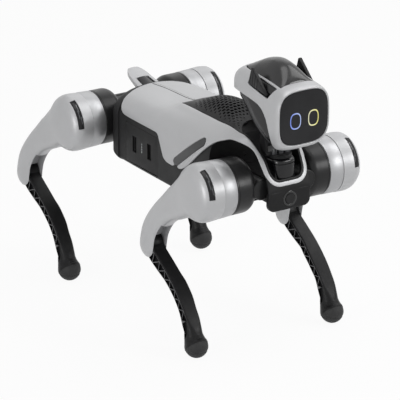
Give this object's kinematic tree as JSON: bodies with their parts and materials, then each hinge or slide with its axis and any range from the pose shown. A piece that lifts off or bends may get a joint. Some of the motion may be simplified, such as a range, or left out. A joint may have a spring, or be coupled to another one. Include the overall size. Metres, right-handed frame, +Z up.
{
  "type": "quadruped robot dog",
  "caption": "Quadruped walking robot with a rounded display head, perforated back grille, jointed legs with ball feet, and a side battery.",
  "frame": {"origin": "on the floor, midway along, across and under the robot's standing bounding box", "axes": "+X towards the head, +Y to the robot's left, +Z up"},
  "size_m": [0.7342, 0.3484, 0.556],
  "materials": {
    "silver_paint": "satin silver paint",
    "black_plastic": "satin black",
    "graphite_composite": "matt charcoal",
    "black_glass": "gloss black",
    "rubber": "matt",
    "steel": "ground",
    "circuit_board": "solder resist"
  },
  "bodies": {
    "trunk": {"button_bezel": "graphite_composite", "chassis": "black_plastic", "chest_panel": "black_plastic", "front_left_hip_motor": "graphite_composite", "front_right_hip_motor": "graphite_composite", "grille_panel": "graphite_composite", "left_light_window": "black_glass", "left_neck_collar": "graphite_composite", "mainboard": "circuit_board", "neck_base": "black_plastic", "rear_left_hip_motor": "graphite_composite", "rear_panel": "black_plastic", "rear_right_hip_motor": "graphite_composite", "right_light_window": "black_glass", "right_neck_collar": "graphite_composite", "speaker": "black_plastic", "tail_fin": "silver_paint", "tail_inlay": "black_glass", "top_shell": "silver_paint"},
    "front_left_hip": {"front_left_hip_link": "graphite_composite"},
    "front_left_thigh": {"front_left_thigh_ring": "silver_paint", "front_left_thigh_shell": "silver_paint", "front_left_thigh_window": "black_glass", "front_left_knee_pin": "steel"},
    "front_left_lower_leg": {"front_left_shank": "graphite_composite", "front_left_foot": "rubber"},
    "front_right_hip": {"front_right_hip_link": "graphite_composite"},
    "front_right_thigh": {"front_right_thigh_ring": "silver_paint", "front_right_thigh_shell": "silver_paint", "front_right_thigh_window": "black_glass", "front_right_knee_pin": "steel"},
    "front_right_lower_leg": {"front_right_shank": "graphite_composite", "front_right_foot": "rubber"},
    "rear_left_hip": {"rear_left_hip_link": "graphite_composite"},
    "rear_left_thigh": {"rear_left_thigh_ring": "silver_paint", "rear_left_thigh_shell": "silver_paint", "rear_left_thigh_window": "black_glass", "rear_left_knee_pin": "steel"},
    "rear_left_lower_leg": {"rear_left_shank": "graphite_composite", "rear_left_foot": "rubber"},
    "rear_right_hip": {"rear_right_hip_link": "graphite_composite"},
    "rear_right_thigh": {"rear_right_thigh_ring": "silver_paint", "rear_right_thigh_shell": "silver_paint", "rear_right_thigh_window": "black_glass", "rear_right_knee_pin": "steel"},
    "rear_right_lower_leg": {"rear_right_shank": "graphite_composite", "rear_right_foot": "rubber"},
    "chest_button": {"chest_button": "black_plastic"},
    "battery": {"battery_pack": "black_plastic"},
    "rear_latch": {"rear_battery_latch": "graphite_composite"},
    "front_latch": {"front_battery_latch": "graphite_composite"},
    "neck": {"neck_yoke": "graphite_composite", "pitch_axle": "steel"},
    "head": {"head_core": "black_plastic", "head_shell": "silver_paint", "display": "black_glass", "head_cap": "black_plastic", "left_ear": "graphite_composite", "right_ear": "graphite_composite"}
  },
  "joints": [
    {"name": "front_left_abduction", "type": "hinge", "parent": "trunk", "child": "front_left_hip", "pos_m": [0.25676, 0.048, 0.32121], "axis": [1, 0, 0], "range_deg": [-30, 30]},
    {"name": "front_left_thigh_pitch", "type": "hinge", "parent": "front_left_hip", "child": "front_left_thigh", "pos_m": [0.25676, 0.15, 0.32121], "axis": [0, 1, 0], "range_deg": [-100, 95]},
    {"name": "front_left_knee_pitch", "type": "hinge", "parent": "front_left_thigh", "child": "front_left_lower_leg", "pos_m": [0.10098, 0.15, 0.17594], "axis": [0, 1, 0], "range_deg": [-58, 45]},
    {"name": "front_right_abduction", "type": "hinge", "parent": "trunk", "child": "front_right_hip", "pos_m": [0.25676, -0.048, 0.32121], "axis": [-1, 0, 0], "range_deg": [-30, 30]},
    {"name": "front_right_thigh_pitch", "type": "hinge", "parent": "front_right_hip", "child": "front_right_thigh", "pos_m": [0.25676, -0.15, 0.32121], "axis": [0, 1, 0], "range_deg": [-100, 95]},
    {"name": "front_right_knee_pitch", "type": "hinge", "parent": "front_right_thigh", "child": "front_right_lower_leg", "pos_m": [0.10098, -0.15, 0.17594], "axis": [0, 1, 0], "range_deg": [-58, 45]},
    {"name": "rear_left_abduction", "type": "hinge", "parent": "trunk", "child": "rear_left_hip", "pos_m": [-0.18824, 0.048, 0.32121], "axis": [1, 0, 0], "range_deg": [-30, 30]},
    {"name": "rear_left_thigh_pitch", "type": "hinge", "parent": "rear_left_hip", "child": "rear_left_thigh", "pos_m": [-0.18824, 0.15, 0.32121], "axis": [0, 1, 0], "range_deg": [-50, 95]},
    {"name": "rear_left_knee_pitch", "type": "hinge", "parent": "rear_left_thigh", "child": "rear_left_lower_leg", "pos_m": [-0.34402, 0.15, 0.17594], "axis": [0, 1, 0], "range_deg": [-58, 45]},
    {"name": "rear_right_abduction", "type": "hinge", "parent": "trunk", "child": "rear_right_hip", "pos_m": [-0.18824, -0.048, 0.32121], "axis": [-1, 0, 0], "range_deg": [-30, 30]},
    {"name": "rear_right_thigh_pitch", "type": "hinge", "parent": "rear_right_hip", "child": "rear_right_thigh", "pos_m": [-0.18824, -0.15, 0.32121], "axis": [0, 1, 0], "range_deg": [-50, 95]},
    {"name": "rear_right_knee_pitch", "type": "hinge", "parent": "rear_right_thigh", "child": "rear_right_lower_leg", "pos_m": [-0.34402, -0.15, 0.17594], "axis": [0, 1, 0], "range_deg": [-58, 45]},
    {"name": "head_yaw", "type": "hinge", "parent": "trunk", "child": "neck", "pos_m": [0.28926, 0, 0.37301], "axis": [0, 0, 1], "range_deg": [-40, 40]},
    {"name": "head_pitch", "type": "hinge", "parent": "neck", "child": "head", "pos_m": [0.27726, 0, 0.42751], "axis": [0, 1, 0], "range_deg": [-20, 15]},
    {"name": "battery_slide", "type": "slide", "parent": "trunk", "child": "battery", "axis": [0, -1, 0], "range_m": [0, 0.1]},
    {"name": "rear_latch_pinch", "type": "slide", "parent": "battery", "child": "rear_latch", "axis": [1, 0, 0], "range_m": [0, 0.003], "stiffness_N_per_m": 600},
    {"name": "front_latch_pinch", "type": "slide", "parent": "battery", "child": "front_latch", "axis": [-1, 0, 0], "range_m": [0, 0.003], "stiffness_N_per_m": 600},
    {"name": "chest_button_press", "type": "slide", "parent": "trunk", "child": "chest_button", "axis": [-1, 0, 0], "range_m": [0, 0.0012], "stiffness_N_per_m": 900}
  ]
}
